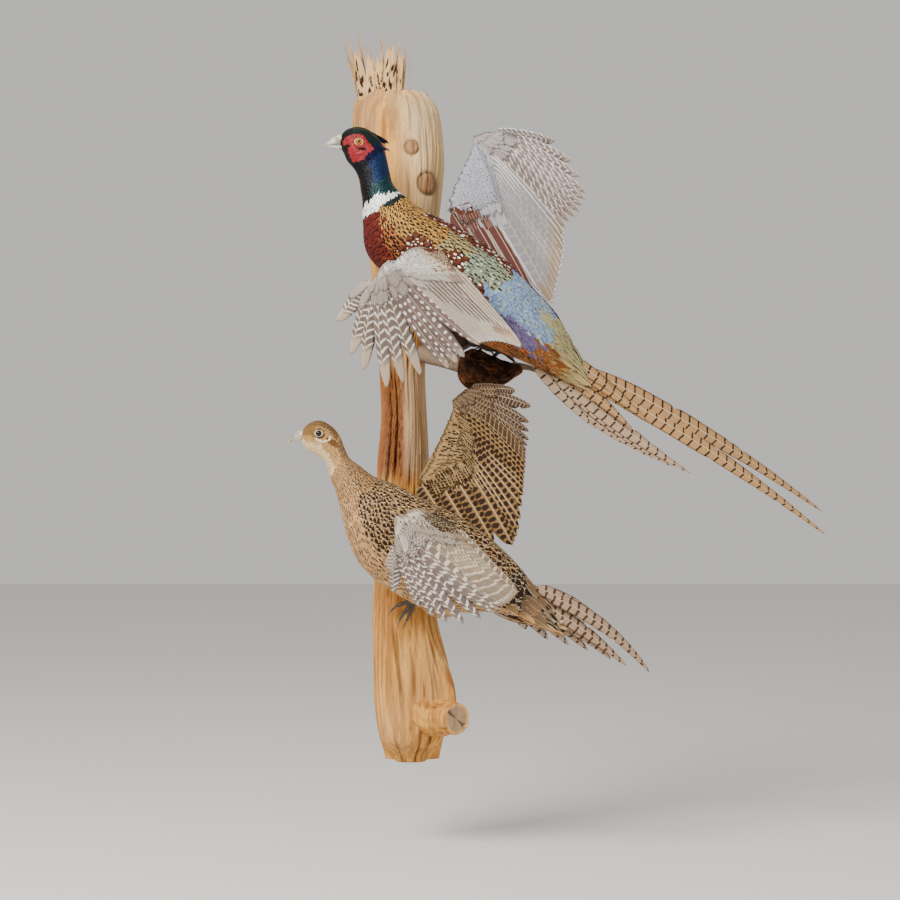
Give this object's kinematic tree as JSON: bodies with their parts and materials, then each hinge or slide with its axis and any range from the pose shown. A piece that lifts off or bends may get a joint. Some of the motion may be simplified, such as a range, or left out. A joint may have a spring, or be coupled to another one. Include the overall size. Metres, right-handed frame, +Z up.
{
  "type": "taxidermy pheasant pair on a driftwood wall mount",
  "caption": "Life-size still cock pheasant in flight with spread wings and long tail above a plainer hen, both fixed to an upright driftwood log that hangs flat on a wall.",
  "frame": {"origin": "the hanging point on the log's flat back, between its edges near the top", "axes": "+Z up along the log, +Y out of the flat back into the wall, +X to the right as seen from the room"},
  "size_m": [0.7244, 0.3039, 1.0052],
  "materials": {
    "head_plumage": "glossy green, blue and violet-black feathers with a crimson face",
    "body_plumage": "gold, chestnut and copper feathers with black marks, blue-grey rump",
    "wing_plumage": "grey-brown flight feathers barred with off-white, pale grey coverts",
    "tail_plumage": "buff tail feathers with narrow black bars",
    "hen_plumage": "buff feathers with dark brown spots and bars",
    "bill_horn": "pale horn, satin",
    "leg_scale": "grey-brown scaled skin and dark claws",
    "eye_glass": "gold iris round a black pupil, glossy",
    "driftwood": "weathered, cream to tan, grain grooves and knots",
    "burl_bark": "rough dark bark and grey branch wood"
  },
  "bodies": {
    "root": {"cock_head": "head_plumage", "cock_neck": "head_plumage", "cock_trunk": "body_plumage", "cock_tail": "tail_plumage", "cock_wing_left": "wing_plumage", "cock_wing_right": "wing_plumage", "cock_leg_left": "leg_scale", "cock_leg_right": "leg_scale", "cock_bill_upper": "bill_horn", "cock_bill_lower": "bill_horn", "cock_eye_left": "eye_glass", "cock_eye_right": "eye_glass", "driftwood_log": "driftwood", "perch_burl": "burl_bark", "hen": "hen_plumage"}
  },
  "joints": []
}
